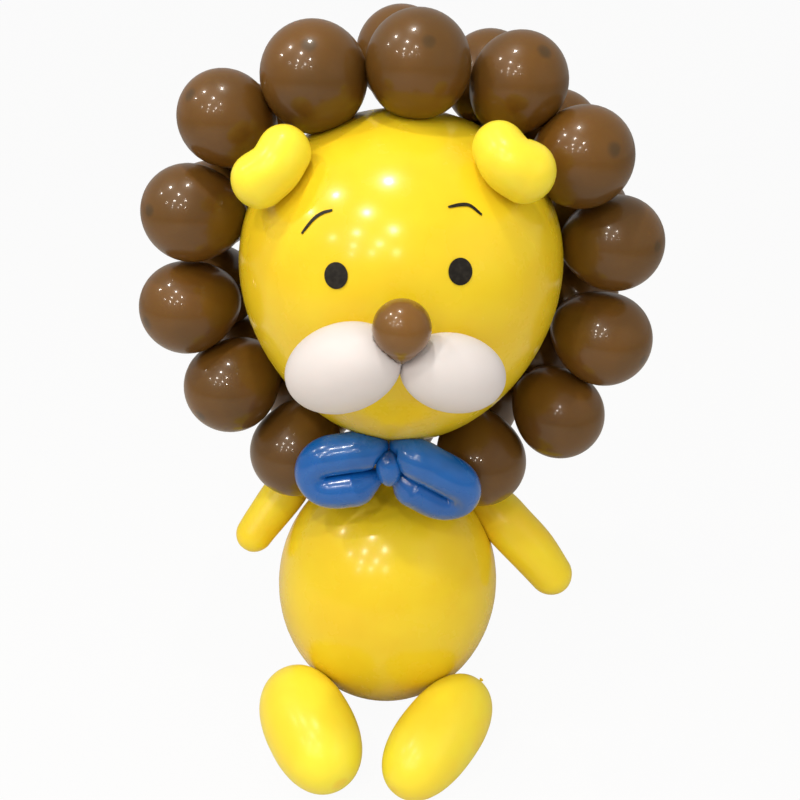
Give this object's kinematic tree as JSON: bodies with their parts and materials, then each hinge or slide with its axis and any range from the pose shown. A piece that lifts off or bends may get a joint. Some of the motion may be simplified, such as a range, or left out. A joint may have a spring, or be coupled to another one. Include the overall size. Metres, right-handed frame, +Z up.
{
  "type": "balloon lion figure",
  "caption": "Sitting lion figure of tied latex balloons: round head with a ring of brown mane balloons, white muzzle, ears, blue bow, round body, stub arms and legs.",
  "frame": {"origin": "on the floor under the middle of the lion's box seen from above", "axes": "+Z up, -Y the way the face looks, +X towards the right hand of someone who looks at the face"},
  "size_m": [0.642, 0.476, 0.9516],
  "materials": {
    "yellow_latex": "glossy",
    "brown_latex": "glossy",
    "nose_latex": "glossy",
    "white_latex": "satin",
    "blue_latex": "glossy",
    "black_vinyl": "matte"
  },
  "bodies": {
    "root": {"body": "yellow_latex", "head": "yellow_latex", "ear_left": "yellow_latex", "ear_right": "yellow_latex", "arm_left": "yellow_latex", "arm_right": "yellow_latex", "leg_left": "yellow_latex", "leg_right": "yellow_latex", "mane_front_01": "brown_latex", "mane_front_02": "brown_latex", "mane_front_03": "brown_latex", "mane_front_04": "brown_latex", "mane_front_05": "brown_latex", "mane_front_06": "brown_latex", "mane_front_07": "brown_latex", "mane_front_08": "brown_latex", "mane_front_09": "brown_latex", "mane_front_10": "brown_latex", "mane_front_11": "brown_latex", "mane_front_12": "brown_latex", "mane_front_13": "brown_latex", "mane_back_01": "brown_latex", "mane_back_02": "brown_latex", "mane_back_03": "brown_latex", "mane_back_04": "brown_latex", "mane_back_05": "brown_latex", "mane_back_06": "brown_latex", "mane_back_07": "brown_latex", "mane_back_08": "brown_latex", "mane_back_09": "brown_latex", "mane_back_10": "brown_latex", "mane_back_11": "brown_latex", "mane_back_12": "brown_latex", "mane_back_13": "brown_latex", "mane_back_14": "brown_latex", "nose": "nose_latex", "muzzle_left": "white_latex", "muzzle_right": "white_latex", "bow_loop_left": "blue_latex", "bow_loop_right": "blue_latex", "bow_knot": "blue_latex", "eye_left": "black_vinyl", "eye_right": "black_vinyl", "brow_left": "black_vinyl", "brow_right": "black_vinyl"}
  },
  "joints": []
}
